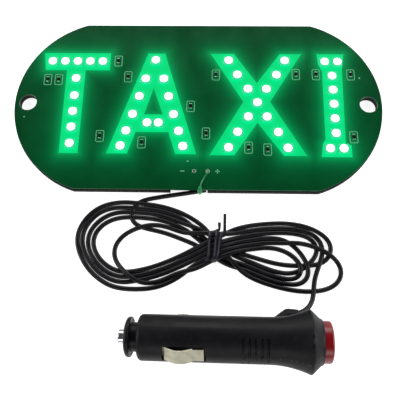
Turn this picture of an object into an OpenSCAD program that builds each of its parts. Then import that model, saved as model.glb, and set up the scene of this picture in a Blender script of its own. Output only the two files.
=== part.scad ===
// Lit cab sign for a windscreen, its tied lead and its switched 12 V plug.
// Millimetres. The sign lies face up: +Z leaves the lit face and +X runs along its length.
// The origin is the centre of the sign's underside, on the surface that everything lies on.
// The plug is drawn along its own +X, from the tip's front end (0) to the push button.

/* [Sign board] */
// Length over the round ends
board_w = 200; // [167:1:240]
// Height over the straight edges
board_h = 100; // [83:1:120]
// How much the end arcs' radius is over half the height
arc_extra = 2.5; // [0.5:0.5:5]
// Thickness of the circuit board
board_t = 1.6; // [1:0.1:2.4]
// How far the board's edge stands back from the backing's edge
board_inset = 0.4; // [0.1:0.1:1]
// Foam left over the lead in its channel, which makes up the backing's thickness
backing_spare = 0.4; // [0.2:0.1:3]
// Diameter of the two hanging holes
hole_d = 9.6; // [6:0.1:11.6]
// Distance of each hole's centre from the end of the sign
hole_inset = 7.5; // [7:0.5:12]

/* [Lamps] */
// Side of a square lamp body
led_size = 5; // [3.5:0.1:6]
// Height of a lamp body
led_t = 1.6; // [1:0.1:2.5]
// Wall of the body round its window
led_wall = 0.5; // [0.3:0.1:0.8]
// Depth of the clear filling in the window
window_t = 1; // [0.4:0.1:1.2]
// Smallest free gap between two lamps of a pair
led_gap = 1; // [0.5:0.1:2]
// Width of one solder leg
leg_w = 0.8; // [0.4:0.1:1]
// How far a solder leg stands out of the body
leg_out = 0.3; // [0.1:0.1:0.5]
// Free board beside the field of lamps at each end
side_margin = 17.5; // [12:0.5:24]
// Free board above and below the field of lamps
edge_margin = 21; // [16:0.5:25]

/* [Chip resistors] */
// Length of a chip resistor
chip_l = 3.2; // [2:0.1:4]
// Width of a chip resistor
chip_w = 1.6; // [1:0.1:2]
// Height of a chip resistor
chip_t = 0.6; // [0.4:0.1:1]
// Length of each tinned end
chip_end = 0.5; // [0.3:0.1:0.8]

/* [Lead joints] */
// Diameter of a plated lead hole
pad_hole_d = 1.2; // [1.1:0.1:1.4]
// Diameter of its copper ring
pad_d = 2.4; // [2:0.1:3]
// Distance of the lead holes from the board's lower edge
pad_up = 10.5; // [9:0.5:12]
// Diameter of one insulated core
core_d = 0.9; // [0.6:0.1:1]

/* [Cord] */
// Diameter of the round lead
cord_d = 2.4; // [2:0.1:2.9]
// Layers of lead that lie on each other in the tied bundle
coil_layers = 3; // [2:1:4]
// Radius of the bundle's left end
left_lobe_r = 22.5; // [18:0.5:25]
// Radius of the bundle's right end
right_lobe_r = 17.5; // [14:0.5:20]
// Width of the bundle where it is tied
waist_w = 13; // [10:0.5:14]
// Width of the tie's ribbon
tie_w = 1.5; // [1:0.1:2.5]
// Thickness of the tie's ribbon
tie_t = 0.8; // [0.4:0.1:1]

/* [Plug shell] */
// Diameter of the barrel that goes into the socket
barrel_d = 20.8; // [18:0.1:25]
// Wall of the barrel
shell_wall = 1.8; // [1.4:0.1:2.2]
// Round of the barrel's front edge
nose_round = 2; // [0.5:0.1:2]
// Length of the barrel, from its front face to the grip
barrel_l = 45.9; // [45:0.1:56]
// Length of the ribbed grip
grip_l = 12.8; // [10.6:0.1:16]
// Number of grooves in the grip
groove_count = 5; // [3:1:5]
// Width of a grip groove
groove_w = 1.2; // [0.8:0.1:1.4]
// Depth of a grip groove
groove_deep = 0.5; // [0.2:0.1:0.8]
// Length of the flare behind the grip
flare_l = 18.4; // [18:0.1:22.1]
// Diameter of the flare's crest
flare_d = 28.4; // [25:0.1:34]
// Length of the cone behind the crest
rear_l = 5.3; // [4.5:0.1:7]
// Diameter of the rim round the button
rim_d = 20; // [19:0.1:22]
// Wall of that rim
rim_wall = 0.65; // [0.4:0.05:1]
// Gap at the line where the two half shells meet
seam_gap = 0.1; // [0.05:0.05:0.2]

/* [Plug nose] */
// Diameter of the tip contact
pin_d = 6.8; // [5.7:0.1:8.1]
// How far the tip contact stands out
pin_out = 4; // [3:0.1:5]
// Diameter of the nose cap's flange
flange_d = 18.2; // [15.2:0.1:21.8]
// Depth of the flange, from its face to the back of its rim
flange_t = 2.6; // [2.2:0.1:3.2]
// Length of neck seen between the flange and the barrel
neck_l = 3.3; // [2.8:0.1:4]
// Diameter of the cap's threaded stem
stem_d = 13.2; // [12.6:0.1:14]
// Length of stem inside the barrel
stem_l = 7.9; // [7:0.1:8.2]
// Rise of the thread in one turn
thread_pitch = 1.5; // [1:0.1:2]
// Thickness of the cap's front wall
cap_wall = 3; // [2.4:0.1:3.4]
// Length of the tip's spring
tip_spring_l = 5; // [4:0.1:5.5]

/* [Fuse] */
// Diameter of the fuse over its end caps
fuse_d = 6.4; // [5.3:0.1:6.6]
// Length of the fuse
fuse_l = 30; // [25:0.5:30]
// Length of an end cap
fuse_cap_l = 6; // [5:0.1:7]
// Wall of an end cap
fuse_cap_t = 0.3; // [0.2:0.1:0.4]
// Wall of the glass
glass_t = 0.6; // [0.4:0.1:0.8]
// Wall of the insulating sleeve round the fuse
sleeve_wall = 0.9; // [0.7:0.1:1]
// Length of the spring behind the fuse
fuse_spring_l = 8.4; // [7:0.1:9]

/* [Side contacts] */
// Distance of the contact windows from the barrel's front face
window_u = 11.7; // [10.5:0.1:13]
// Length of a contact window
slot_l = 19.4; // [19:0.1:20]
// Width of the bowed part of a contact
contact_w = 7.6; // [6.4:0.1:8]
// Width of its flat tab
tab_w = 6.4; // [5:0.1:7]
// Thickness of the contact strip
contact_t = 0.6; // [0.4:0.1:0.7]
// Height of the bow over the line between its ends
contact_bow = 1.9; // [1.6:0.1:2.3]

/* [Push switch] */
// How far the button stands out of its rim
button_out = 5; // [4:0.1:6]
// How far the button goes in
button_travel = 2; // [1:0.1:2.4]
// Diameter of the switch plunger
plunger_d = 4.4; // [3.6:0.1:5]
// Wall of the button
button_wall = 1.4; // [1:0.1:1.8]
// Length of the switch housing
switch_l = 6; // [5:0.1:7]
// Diameter of the small lamp behind the button
pilot_d = 3; // [2:0.1:3]

/* [Shell screws] */
// Diameter of a screw's shank
screw_d = 2; // [1.6:0.1:2.4]
// Diameter of a screw's head
screw_head_d = 3.8; // [3:0.1:4.4]
// Distance between the two screws
screw_pitch = 8.5; // [7.5:0.1:9]

/* [Clearances] */
// Radial gap of a fit that turns or slides
slide_gap = 0.05; // [0.03:0.01:0.1]
// Gap between pieces that only sit beside each other
fit_gap = 0.1; // [0.05:0.05:0.2]

/* [Hidden] */
$fn = 48;

eps = 0.01;

// Heights of the sign's layers
backing_t = cord_d + backing_spare;
board_top = backing_t + board_t;
end_r = board_h / 2 + arc_extra;
edge_y = -board_h / 2;

// The lamps stand on a layout grid whose cells stretch with the free field of the board
GRID = [165, 58];
cell = [(board_w - 2 * side_margin) / GRID.x, (board_h - 2 * edge_margin) / GRID.y];
// Centre of each letter, in grid cells: T, A, X, I
LETTER_X = [-67, -23.5, 32.5, 73.5];
// Chip resistors, in grid cells
CHIPS = [[-83, 14], [-77, 14], [-44.5, 26], [-38.5, 16], [-51.5, -20], [-29, -23.5], [-3.5, -2],
    [10, 17.5], [5, -18], [27.5, -26], [37.5, -27], [54, 18], [65, 18], [84, 18], [83, -19.5]];

// Lead holes: negative, then positive
pads = [[-0.8, edge_y + pad_up], [6.2, edge_y + pad_up]];

// The lead and the plug keep their distance to the sign's lower edge
below = edge_y + 50;

// The lead lies on the surface, and its points say how much higher it runs in places
cord_r = cord_d / 2;
rest_z = cord_r + 0.1;
BOARD_ROUTE = [[5.5, -48.8, 0], [-1, -50, 0], [-10, -51.5, 0], [-19, -53, 0], [-26, -54.5, 0],
    [-31, -56, 0]];
PLUG_ROUTE = [[57.8, -98.5, 0], [58.6, -101.5, 0.3], [57.8, -105, 1.5], [55.3, -108.4, 3.4]];
coil_h = coil_layers * cord_d;
LEFT_LOBE = [-37, -78];
RIGHT_LOBE = [57, -83.5];
WAIST = [10.5, -79];
waist_l = 13;
tie_pitch = 3.5;

// Stations along the plug
u_flange = pin_out;
u_neck = u_flange + flange_t;
u_shell = u_neck + neck_l;
u_stem = u_shell + stem_l;
u_grip = u_shell + barrel_l;
u_flare = u_grip + grip_l;
u_crest = u_flare + flare_l;
u_rim = u_crest + rear_l;
u_button = u_rim + button_out;
u_slot = u_shell + window_u;
u_slot_end = u_slot + slot_l;

// Radii of the plug
barrel_r = barrel_d / 2;
bore_r = barrel_r - shell_wall;
flare_r = flare_d / 2;
rim_r = rim_d / 2;
button_r = rim_r - rim_wall - slide_gap;
pin_r = pin_d / 2;
collar_r = pin_r + 1.2;
cap_bore_r = collar_r + 0.3;
stem_r = stem_d / 2;
fuse_r = fuse_d / 2;
sleeve_bore_r = fuse_r + fit_gap;
sleeve_r = sleeve_bore_r + sleeve_wall;
plunger_r = plunger_d / 2;
flare_arc_r = (pow(flare_l, 2) + pow(flare_r - barrel_r, 2)) / (2 * (flare_r - barrel_r));

// Stations of the pieces inside the plug
u_collar = u_flange + cap_wall + slide_gap;
collar_l = 1;
u_tip_spring = u_collar + collar_l;
u_fuse = u_tip_spring + tip_spring_l;
u_fuse_end = u_fuse + fuse_l;
cup_l = 1.6;
u_fuse_spring = u_fuse_end + cup_l;
u_sleeve = u_stem + 0.3;
flange_web = 1.2;
u_sleeve_wall = u_fuse_spring + fuse_spring_l;
sleeve_end_t = 1.5;
u_sleeve_end = u_sleeve_wall + sleeve_end_t;
root_l = 2.6;
strap_t = 0.8;
u_strap = u_slot_end + root_l + 0.3;
u_web = u_strap + strap_t + fit_gap;
u_switch_end = u_rim - button_travel - 7.3;
u_switch = u_switch_end - switch_l;
boss_r = screw_d / 2 + 1.6;
screw_u = u_sleeve_end + 2 + boss_r;
u_skirt = u_switch_end + button_travel + 0.4;
u_boss = u_skirt + 3.5;
contact_y = sqrt(pow(bore_r, 2) - pow(contact_w / 2, 2)) - contact_t / 2 - 0.3;
pilot_y = min(bore_r - 2.6, button_r - button_wall - pilot_d / 2 - 0.4);

// The plug lies on its flare and on the front of its barrel, turned a little in plan. Its
// parting plane holds both side contacts and is rolled below the level on the sign's side.
plug_tilt = atan((flare_r - barrel_r) / (u_crest - u_shell - nose_round));
plug_lift = barrel_r * cos(plug_tilt) - (u_shell + nose_round) * sin(plug_tilt);
PLUG_TIP = [-34, -123];
plug_yaw = -0.7;
plug_roll = 43;
hood_roll = 18;

// Points given as station, distance from the axis and side step in the hood's plane
function turn_x(p, a) = [p.x, p.y * cos(a) - p.z * sin(a), p.y * sin(a) + p.z * cos(a)];
function turn_y(p, a) = [p.x * cos(a) + p.z * sin(a), p.y, p.z * cos(a) - p.x * sin(a)];
function turn_z(p, a) = [p.x * cos(a) - p.y * sin(a), p.x * sin(a) + p.y * cos(a), p.z];
function at_hood(p) = turn_x(p, hood_roll);
function placed(p) = [PLUG_TIP.x, PLUG_TIP.y + below, plug_lift]
    + turn_z(turn_y(turn_x(p, -plug_roll), -plug_tilt), plug_yaw);

// ---------- shared shapes ----------

function unit(v) = v / norm(v);
function mirrored(p) = [[p.x, p.y], [-p.x, p.y]];
function pairs(list) = [for (p = list, q = mirrored(p)) q];
// Points of a smooth curve through a list of points, steps to each stretch
function between(a, b, c, d, t) = 0.5 * (2 * b + (c - a) * t + (2 * a - 5 * b + 4 * c - d) * t * t
    + (3 * b - a - 3 * c + d) * t * t * t);
function smooth(p, steps) = let (n = len(p) - 1) concat(
    [for (i = [0 : n - 1], k = [0 : steps - 1])
        between(p[max(i - 1, 0)], p[i], p[i + 1], p[min(i + 2, n)], k / steps)],
    [p[n]]);
function heading(p, i) = unit(p[min(i + 1, len(p) - 1)] - p[max(i - 1, 0)]);
// A ring of the tube round point i; the reference direction never lies along the route
function ring(p, i, r, sides, ref) = let (t = heading(p, i), s = unit(cross(t, ref)), w = cross(s, t))
    [for (k = [0 : sides - 1]) p[i] + r * (cos(360 * k / sides) * s + sin(360 * k / sides) * w)];
// A ribbon of even thickness along a flat path
function side_of(p, i) = let (t = heading(p, i)) [-t.y, t.x];
function ribbon(p, t) = concat([for (i = [0 : len(p) - 1]) p[i] + t / 2 * side_of(p, i)],
    [for (i = [len(p) - 1 : -1 : 0]) p[i] - t / 2 * side_of(p, i)]);

module tube(p, r, sides = 8, ref = [0, 0, 1]) {
    n = len(p);
    polyhedron(
        points = [for (i = [0 : n - 1]) each ring(p, i, r, sides, ref)],
        faces = concat([[for (k = [0 : sides - 1]) k]],
            [[for (k = [sides - 1 : -1 : 0]) (n - 1) * sides + k]],
            [for (i = [0 : n - 2], k = [0 : sides - 1]) let (a = i * sides + k, b = i * sides + (k + 1) % sides)
                each [[a, a + sides, b + sides], [a, b + sides, b]]]),
        convexity = 10);
}

// A wound spring along +X
module spring(r, wire_r, l, turns) {
    steps = turns * 12;
    helix = [for (i = [0 : steps]) let (a = 30 * i)
        [wire_r + (l - 2 * wire_r) * i / steps, r * cos(a), r * sin(a)]];
    tube(helix, wire_r, 6, [1, 0, 0]);
}

// A solid or a ring turned about +X, between two stations
module rod(r, u0, u1, bore = 0) {
    translate([u0, 0, 0]) rotate([0, 90, 0]) difference() {
        cylinder(r = r, h = u1 - u0);
        if (bore > 0) translate([0, 0, -eps]) cylinder(r = bore, h = u1 - u0 + 2 * eps);
    }
}

// A body turned about +X from points that are [station, radius]
module turned(points) {
    rotate([0, 90, 0]) rotate_extrude($fn = 96) polygon([for (p = points) [p.y, p.x]]);
}

// A box from corner to corner
module block(low, high) {
    translate(low) cube(high - low);
}

module in_plug() {
    translate([PLUG_TIP.x, PLUG_TIP.y + below, plug_lift]) rotate([0, 0, plug_yaw]) rotate([0, -plug_tilt, 0])
        rotate([-plug_roll, 0, 0]) children();
}

module on_hood_plane() {
    rotate([hood_roll, 0, 0]) children();
}

// ---------- sign board ----------

module sign_outline(inset) {
    intersection() {
        union() {
            for (s = [-1, 1]) translate([s * (board_w / 2 - end_r), 0]) circle(r = end_r - inset, $fn = 180);
            square([board_w - 2 * end_r, board_h], center = true);
        }
        square([board_w, board_h - 2 * inset], center = true);
    }
}

module hanging_holes() {
    for (s = [-1, 1]) translate([s * (board_w / 2 - hole_inset), 0]) circle(d = hole_d);
}

module circuit_board() {
    color("#06401c") translate([0, 0, backing_t]) linear_extrude(board_t) difference() {
        sign_outline(board_inset);
        hanging_holes();
        for (p = pads) translate(p) circle(d = pad_hole_d);
    }
}

// Foam sheet with a channel at the lower edge for the lead and its cores
module backing_sheet() {
    color("#101112") linear_extrude(backing_t) difference() {
        sign_outline(0);
        hanging_holes();
        translate([-13, edge_y - eps]) square([19.2, 4.2]);
        translate([-3, edge_y + 3]) square([12, pad_up - 1]);
    }
}

function lamp_row(x, list) = [for (p = list) [(x + p.x) * cell.x, p.y * cell.y]];
function apart(p) = [max(p.x * cell.x, (led_size + led_gap) / 2) / cell.x, p.y];
LAMPS_T = lamp_row(LETTER_X[0], concat(
    [for (i = [-2 : 2]) [7 * i, 25]],
    [for (y = [14.2, 3.5, -6, -15.3, -24.8]) [0, y]]));
LAMPS_A = lamp_row(LETTER_X[1], concat(
    [[0, 26]],
    pairs([[5, 14.2], [8, 3.3], [11, -7.5], [14, -17.3], [16.5, -26]]),
    pairs([apart([3, -12.5])])));
LAMPS_X = lamp_row(LETTER_X[2], concat(
    [[0, 0]],
    pairs([[15.5, 26], [10.7, 17], [5, 8.2], [5, -8.5], [10.7, -17.5], [15.5, -26.5]])));
LAMPS_I = lamp_row(LETTER_X[3], concat(
    pairs([apart([3.5, 25.5]), apart([3.5, -26.5])]),
    [for (i = [-2 : 2]) [0, -0.6 + 8.6 * i]]));

module led_body() {
    translate([0, 0, board_top]) difference() {
        translate([-led_size / 2, -led_size / 2, 0]) cube([led_size, led_size, led_t]);
        translate([0, 0, led_t - window_t]) cylinder(d = led_size - 2 * led_wall, h = window_t + eps);
    }
}

module led_window() {
    translate([0, 0, board_top + led_t - window_t]) cylinder(d = led_size - 2 * led_wall, h = window_t - 0.1);
}

module led_legs() {
    for (s = [-1, 1], row = [-1 : 1])
        translate([s * (led_size + leg_out) / 2, row * led_size * 0.32, board_top + led_t / 4])
            cube([leg_out, leg_w, led_t / 2], center = true);
}

module lamps(places) {
    for (p = places) translate([p.x, p.y, 0]) children();
}

module led_bodies_t() color("#f4f4ee") lamps(LAMPS_T) led_body();
module led_bodies_a() color("#f4f4ee") lamps(LAMPS_A) led_body();
module led_bodies_x() color("#f4f4ee") lamps(LAMPS_X) led_body();
module led_bodies_i() color("#f4f4ee") lamps(LAMPS_I) led_body();
module led_windows_t() color("#b8ffd8") lamps(LAMPS_T) led_window();
module led_windows_a() color("#b8ffd8") lamps(LAMPS_A) led_window();
module led_windows_x() color("#b8ffd8") lamps(LAMPS_X) led_window();
module led_windows_i() color("#b8ffd8") lamps(LAMPS_I) led_window();
module led_legs_t() color("#c9ccca") lamps(LAMPS_T) led_legs();
module led_legs_a() color("#c9ccca") lamps(LAMPS_A) led_legs();
module led_legs_x() color("#c9ccca") lamps(LAMPS_X) led_legs();
module led_legs_i() color("#c9ccca") lamps(LAMPS_I) led_legs();

module resistor_bodies() {
    color("#15171a") for (c = CHIPS) translate([c.x * cell.x, c.y * cell.y, board_top + chip_t / 2])
        cube([chip_w, chip_l - 2 * chip_end, chip_t], center = true);
}

module resistor_ends() {
    color("#c9ccca") for (c = CHIPS, s = [-1, 1])
        translate([c.x * cell.x, c.y * cell.y + s * (chip_l - chip_end) / 2, board_top + chip_t / 2])
            cube([chip_w, chip_end, chip_t], center = true);
}

// Copper rings on the lit face round the lead holes
module plated_holes() {
    color("#c98f4a") for (p = pads) translate([p.x, p.y, board_top]) difference() {
        cylinder(d = pad_d, h = 0.1);
        translate([0, 0, -eps]) cylinder(d = pad_hole_d, h = 0.2);
    }
}

// A low cone of solder on each ring
module solder_joints() {
    color("#d0d3d2") for (p = pads) translate([p.x, p.y, board_top + 0.1])
        cylinder(r1 = pad_d / 2 - 0.2, r2 = core_d / 2 + 0.1, h = 0.7);
}

// The core that leaves the lead at the lower edge and crosses the lit face
module lead_positive() {
    over = board_top + core_d / 2;
    route = [[2.3, edge_y - 1, rest_z + 0.6], [2.2, edge_y - 1.1, board_top - 0.6], [2.3, edge_y + 0.1, over + 0.1],
        [2.8, edge_y + 3.2, over], [4.3, edge_y + 6.6, over],
        [pads[1].x - 0.3, pads[1].y - 1.3, over + 0.3], [pads[1].x, pads[1].y, board_top + 0.5]];
    color("#2f6b45") tube(smooth(route, 3), core_d / 2, 8, [1, 0, 0]);
}

// The core that runs behind the board and comes up through its hole
module lead_negative() {
    p = pads[0];
    route = [[4.6, edge_y + 1.6, rest_z], [3.2, edge_y + 4, rest_z], [0.6, edge_y + 7, rest_z],
        [p.x, p.y - 0.8, rest_z + 0.2], [p.x, p.y, backing_t], [p.x, p.y, board_top + 0.5]];
    color("#1a1b1d") tube(smooth(route, 3), core_d / 2, 8, [1, 0, 0]);
}

// Hot-melt bead that holds the lead to the lower edge
module glue_bead() {
    color("#5f9c74") hull() {
        translate([2.4, edge_y + 1.6, board_top + 0.2]) sphere(r = 0.9, $fn = 20);
        translate([2.3, edge_y - 0.5, board_top]) sphere(r = 1.3, $fn = 20);
        translate([2.3, edge_y - 0.7, board_top - 1.4]) sphere(r = 1.1, $fn = 20);
    }
}

// ---------- lead ----------

function lying(route) = [for (p = route) [p.x, p.y + below, rest_z + p.z]];

module cord_board_end() {
    color("#18181a") tube(smooth(lying(BOARD_ROUTE), 2), cord_r);
}

module cord_plug_end() {
    last = [[u_flare + 17, barrel_r + 3.8 + cord_r, -1.2], [u_flare + 13.6, barrel_r + 2.2 + cord_r, 0]];
    color("#18181a") tube(smooth(concat(lying(PLUG_ROUTE), [for (p = last) placed(at_hood(p))]), 2), cord_r);
}

// The tied bundle's outer shape: two round-ended lobes and a waist that the tie goes round
module cord_coil() {
    waist_low = WAIST.y - waist_w / 2;
    waist_high = WAIST.y + waist_w / 2;
    x0 = WAIST.x - waist_l / 2;
    x1 = WAIST.x + waist_l / 2;
    color("#141416") translate([0, below, 0]) {
        linear_extrude(coil_h) {
            translate(LEFT_LOBE) circle(r = left_lobe_r, $fn = 96);
            polygon([[LEFT_LOBE.x, LEFT_LOBE.y + left_lobe_r], [-22, -56.5], [-12, -59.5], [x0, -68.7],
                [x0, -86.5], [-10, -94.5], [-22, -99.3], [LEFT_LOBE.x, LEFT_LOBE.y - left_lobe_r]]);
            translate(RIGHT_LOBE) circle(r = right_lobe_r, $fn = 96);
            polygon([[RIGHT_LOBE.x, RIGHT_LOBE.y + right_lobe_r], [44, -65.9], [33, -66.5], [22, -69.5],
                [x1, waist_high], [x1, waist_low], [28, -92], [44, -98],
                [RIGHT_LOBE.x, RIGHT_LOBE.y - right_lobe_r]]);
        }
        block([x0 - eps, waist_low, tie_t], [x1 + eps, waist_high, coil_h - tie_t]);
    }
}

// Three wraps of ribbon round the waist, with its two cut ends
module coil_tie() {
    color("#1b1a20") translate([0, below, 0]) {
        for (i = [-1 : 1]) translate([WAIST.x + i * tie_pitch, WAIST.y, coil_h / 2]) difference() {
            cube([tie_w, waist_w + 2 * tie_t, coil_h], center = true);
            cube([tie_w + 1, waist_w, coil_h - 2 * tie_t], center = true);
        }
        block([WAIST.x + tie_pitch - tie_w / 2, WAIST.y + waist_w / 2 + tie_t, coil_h / 2],
            [WAIST.x + tie_pitch + tie_w / 2, WAIST.y + waist_w / 2 + 9, coil_h / 2 + tie_t]);
        block([WAIST.x - tie_t / 2, WAIST.y + waist_w / 2 + tie_t, coil_h / 2],
            [WAIST.x + tie_t / 2, WAIST.y + waist_w / 2 + 6, coil_h / 2 + tie_t]);
    }
}

// ---------- plug shell ----------

function nose_arc() = [for (a = [0 : 15 : 90])
    [u_shell + nose_round * (1 - cos(a)), barrel_r - nose_round * (1 - sin(a))]];
function flare_arc() = [for (k = [0 : 8]) let (d = flare_l * k / 8)
    [u_flare + d, barrel_r + flare_arc_r - sqrt(pow(flare_arc_r, 2) - d * d)]];
function outside() = concat(nose_arc(), flare_arc(),
    [[u_crest + 0.6, flare_r - 0.2], [u_rim - 0.9, rim_r + 0.35], [u_rim, rim_r]]);

// The whole hollow shell, before it is parted
module shell_blank() {
    button_bore_r = button_r + slide_gap;
    turned(concat(outside(), [[u_rim, button_bore_r], [u_switch_end, button_bore_r], [u_switch_end, bore_r],
        [u_stem + 0.2, bore_r], [u_stem + 0.2, stem_r + slide_gap], [u_shell, stem_r + slide_gap]]));
}

// Grooves on the two sides that carry the contacts; the pads between them stay smooth
module grip_grooves() {
    pitch = (grip_l - groove_w) / (groove_count - 1) * 0.94;
    start = u_flare - groove_w / 2 - pitch * (groove_count - 1) - 0.4;
    for (s = [0, 180], i = [0 : groove_count - 1])
        translate([start + i * pitch, 0, 0]) rotate([s, 0, 0]) rotate([0, 90, 0]) rotate([0, 0, 42])
            rotate_extrude(angle = 96, $fn = 96) polygon([[barrel_r - groove_deep, groove_w * 0.25],
                [barrel_r + 1, -groove_w * 0.25], [barrel_r + 1, groove_w * 1.25],
                [barrel_r - groove_deep, groove_w * 0.75]]);
}

module contact_windows() {
    half = contact_w / 2 + 2 * fit_gap;
    for (s = [-1, 1]) mirror([0, s < 0 ? 1 : 0, 0])
        block([u_slot, contact_y, -half], [u_slot_end, barrel_r + 1, half]);
}

module screw_places() {
    for (i = [0, 1]) translate([screw_u + i * screw_pitch, 0, 0]) children();
}

// The way that the lead's cores take through the shell wall, seen along it
module cord_port(r) {
    from = [u_flare + 3.5, bore_r - 2.2];
    to = [u_flare + 12.5, barrel_r + 3.1];
    way = to - from;
    on_hood_plane() translate([from.x, from.y, 0]) rotate([0, 0, atan2(way.y, way.x)]) rotate([0, 90, 0])
        cylinder(r = r, h = norm(way));
}

module half_space(side) {
    big = 2 * (u_rim + flare_d);
    translate([-big / 4, -big / 2, side > 0 ? seam_gap / 2 : -big - seam_gap / 2]) cube(big);
}

module half_shell(side) {
    difference() {
        intersection() {
            union() {
                shell_blank();
                screw_places() translate([0, 0, side > 0 ? 0 : -bore_r - 0.3]) cylinder(r = boss_r, h = bore_r + 0.3);
            }
            half_space(side);
        }
        contact_windows();
        grip_grooves();
        block([u_shell + 3.5, -4, side > 0 ? barrel_r - 0.4 : -barrel_r - 1],
            [u_shell + 7.3, 4, side > 0 ? barrel_r + 1 : -barrel_r + 0.4]);
        children();
    }
}

module shell_upper() {
    color("#1c1b1f") in_plug() half_shell(1) {
        union() {
            screw_places() cylinder(r = screw_d / 2 - slide_gap, h = bore_r - 1);
            cord_port(cord_r + 0.3);
        }
    }
}

module shell_lower() {
    color("#1c1b1f") in_plug() half_shell(-1) {
        screw_places() translate([0, 0, -flare_r]) {
            cylinder(r = screw_d / 2 + fit_gap, h = flare_r + 1);
            cylinder(r = screw_head_d / 2 + fit_gap, h = flare_r - barrel_r + 2.5);
        }
    }
}

module shell_screws() {
    head_z = -barrel_r + 2.5;
    color("#8f9294") in_plug() screw_places() {
        translate([0, 0, head_z]) cylinder(r = screw_d / 2, h = bore_r - 2 - head_z);
        difference() {
            translate([0, 0, head_z - 1.4]) cylinder(r = screw_head_d / 2, h = 1.4);
            for (a = [0, 90]) rotate([0, 0, a])
                block([-screw_d / 2, -0.25, head_z - 2], [screw_d / 2, 0.25, head_z - 0.7]);
        }
    }
}

// Moulded hood over the place where the lead goes into the shell; its mouth faces the rear
module cable_hood() {
    mouth_u = u_flare + 14.2;
    color("#1a191c") in_plug() difference() {
        on_hood_plane() hull() {
            translate([u_flare + 2.6, barrel_r - 0.5, 0]) sphere(r = 1.2, $fn = 24);
            translate([u_flare + 9.6, barrel_r + 2, 0]) sphere(r = 3.6, $fn = 32);
            translate([mouth_u - 0.6, barrel_r + 3.2, 0]) rotate([0, 90, 0]) cylinder(r = 2.2, h = 0.6, $fn = 32);
        }
        turned(concat([[u_shell - 1, 0]], [for (p = outside()) [p.x, p.y + 0.02]], [[u_rim, 0]]));
    }
}

// ---------- plug nose ----------

// Dished flange, threaded stem and the hole for the tip
module nose_cap() {
    rim = flange_d / 2;
    grooves = floor((stem_l - 1) / thread_pitch);
    thread = [for (i = [0 : grooves - 1]) let (u = u_shell + 1 + i * thread_pitch)
        each [[u, stem_r], [u + 0.3, stem_r - 0.4], [u + 0.8, stem_r - 0.4], [u + 1.1, stem_r]]];
    color("#1c1b1f") in_plug() turned(concat(
        [[u_flange, pin_r + slide_gap], [u_flange, rim - 1.6], [u_flange + 0.5, rim - 0.5],
            [u_flange + 1.3, rim], [u_neck - 0.3, rim], [u_neck, rim - 0.4], [u_neck - 0.4, rim - 1.2],
            [u_neck - 0.6, stem_r + 0.8], [u_neck, stem_r]],
        thread,
        [[u_stem, stem_r], [u_stem, cap_bore_r], [u_flange + cap_wall, cap_bore_r],
            [u_flange + cap_wall, pin_r + slide_gap]]));
}

// Tip contact, held in the cap by its collar
module tip_pin() {
    chamfer = 0.9;
    color("#d8d9da") in_plug() turned([[0, 0], [0, pin_r - chamfer], [chamfer, pin_r], [u_collar, pin_r],
        [u_collar, collar_r], [u_tip_spring, collar_r], [u_tip_spring, 1.6], [u_tip_spring + 1.2, 1.6],
        [u_tip_spring + 1.2, 0]]);
}

module tip_spring() {
    color("#b9bcbe") in_plug() translate([u_tip_spring, 0, 0]) spring(2.4, 0.35, tip_spring_l, 4);
}

// ---------- fuse ----------

module fuse_caps() {
    color("#c9a557") in_plug() for (end = [0, 1]) {
        u = end == 0 ? u_fuse : u_fuse_end - fuse_cap_l;
        difference() {
            rod(fuse_r, u, u + fuse_cap_l);
            rod(fuse_r - fuse_cap_t, end == 0 ? u + 0.5 : u - eps, end == 0 ? u + fuse_cap_l + eps : u + fuse_cap_l - 0.5);
        }
    }
}

module fuse_tube() {
    outer = fuse_r - fuse_cap_t;
    color("#cfe6e8", 0.4) in_plug() rod(outer, u_fuse + 0.5, u_fuse_end - 0.5, outer - glass_t);
}

module fuse_element() {
    color("#9a9a94") in_plug() rod(0.2, u_fuse + 0.5, u_fuse_end - 0.5);
}

module fuse_cup() {
    color("#c9a557") in_plug() turned([[u_fuse_end, 0], [u_fuse_end, fuse_r - 0.2],
        [u_fuse_end + cup_l * 0.6, fuse_r - 0.2], [u_fuse_end + cup_l * 0.6, 1.5], [u_fuse_spring, 1.5],
        [u_fuse_spring, 0]]);
}

module fuse_spring() {
    color("#b9bcbe") in_plug() translate([u_fuse_spring, 0, 0]) spring(fuse_r - 0.7, 0.35, fuse_spring_l, 5);
}

// Insulating sleeve with two webs that sit in the shell's bore
module fuse_sleeve() {
    web_r = bore_r - fit_gap;
    color("#2a2b2e") in_plug() difference() {
        turned([[u_sleeve, sleeve_bore_r], [u_sleeve, web_r], [u_sleeve + flange_web, web_r],
            [u_sleeve + flange_web, sleeve_r], [u_web, sleeve_r], [u_web, web_r], [u_web + flange_web, web_r],
            [u_web + flange_web, sleeve_r], [u_sleeve_end, sleeve_r], [u_sleeve_end, 1], [u_sleeve_wall, 1],
            [u_sleeve_wall, sleeve_bore_r]]);
        block([u_web - 1, -1.8, -bore_r], [u_web + flange_web + 1, 1.8, -bore_r + 2]);
    }
}

// Rivet at the sleeve's end that the fuse spring presses on, with its solder tail
module centre_terminal() {
    color("#c9a557") in_plug() turned([[u_sleeve_wall - 0.6, 0], [u_sleeve_wall - 0.6, 1.6],
        [u_sleeve_wall, 1.6], [u_sleeve_wall, 0.9], [u_sleeve_end, 0.9], [u_sleeve_end, 2],
        [u_sleeve_end + 0.5, 2], [u_sleeve_end + 0.5, 0.6], [u_sleeve_end + 1.4, 0.6], [u_sleeve_end + 1.4, 0]]);
}

// ---------- side contacts ----------

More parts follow.
